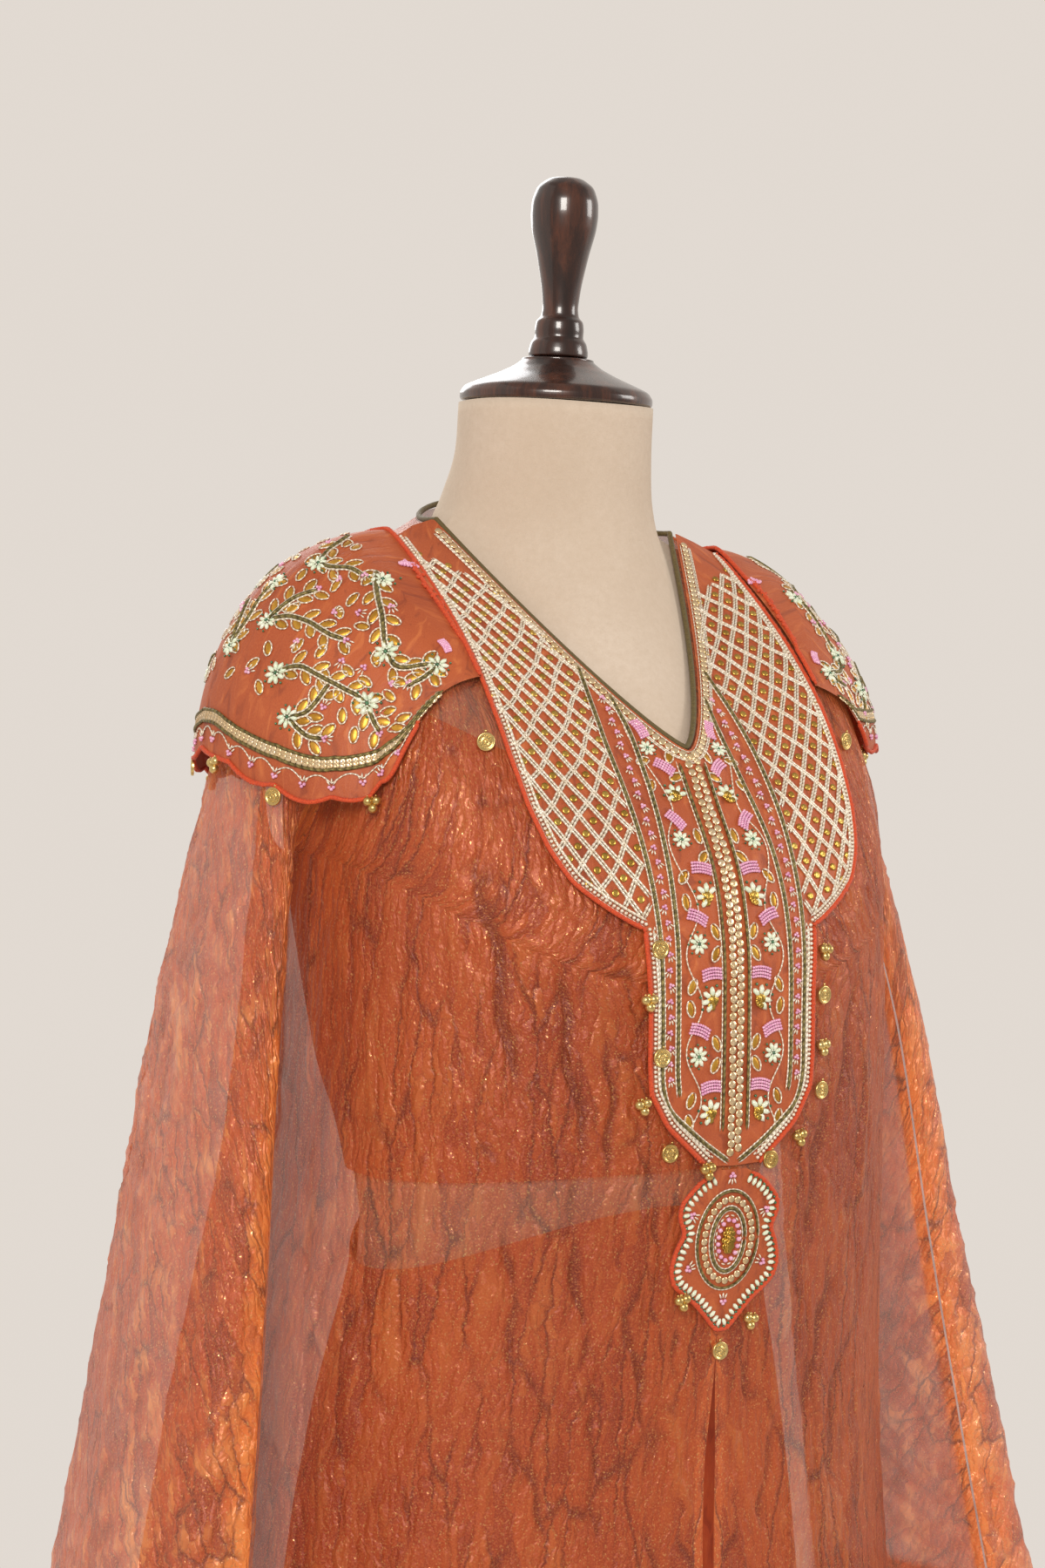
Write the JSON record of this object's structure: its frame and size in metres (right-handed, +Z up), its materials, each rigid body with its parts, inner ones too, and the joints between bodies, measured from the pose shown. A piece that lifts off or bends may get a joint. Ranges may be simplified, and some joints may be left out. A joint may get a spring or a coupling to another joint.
{
  "type": "embroidered kaftan on a dress form with a pole and base",
  "caption": "Long sheer kaftan with flared slit sleeves, beaded bib, hanging ornament and scalloped shoulder caps, worn by a limbless dress form with a turned neck cap, pole and round base.",
  "frame": {"origin": "middle of the whole part's box, on the floor under the base", "axes": "+Z up, -Y the way the garment faces, +X the wearer's left"},
  "size_m": [0.664, 0.5292, 1.6371],
  "materials": {
    "organza": "sheer crinkled tissue organza, rust orange shot with purple",
    "bead": "rust organza covered with silver cord, sequins and beads",
    "lining": "plain rust lining cloth",
    "suede": "beige suede cover",
    "wood": "dark brown turned wood, gloss lacquer",
    "piping": "olive silk binding",
    "gold": "antique gilt coins and small bells"
  },
  "bodies": {
    "root": {"front_right": "organza", "front_left": "organza", "back": "organza", "sleeve_left": "organza", "sleeve_right": "organza", "shoulder_cap_left": "bead", "shoulder_cap_right": "bead", "bib": "bead", "ornament": "bead", "lining_bodice": "lining", "lining_skirt": "lining", "neck_binding": "piping", "form_torso": "suede", "neck_cap": "wood", "finial": "wood", "pole": "wood", "base": "wood", "coin_front_1": "gold", "bells_front_2": "gold", "coin_front_3": "gold", "bells_front_4": "gold", "coin_front_5": "gold", "bells_front_6": "gold", "bells_front_7": "gold", "coin_front_8": "gold", "bells_front_9": "gold", "coin_front_10": "gold", "bells_front_11": "gold", "coin_front_12": "gold", "bells_front_13": "gold", "bells_front_14": "gold", "coin_front_15": "gold", "coin_front_16": "gold", "coin_front_17": "gold", "bells_cap_left_1": "gold", "coin_cap_left_2": "gold", "bells_cap_left_3": "gold", "coin_cap_left_4": "gold", "bells_cap_left_5": "gold", "bells_cap_right_1": "gold", "coin_cap_right_2": "gold", "bells_cap_right_3": "gold", "coin_cap_right_4": "gold", "bells_cap_right_5": "gold"}
  },
  "joints": []
}
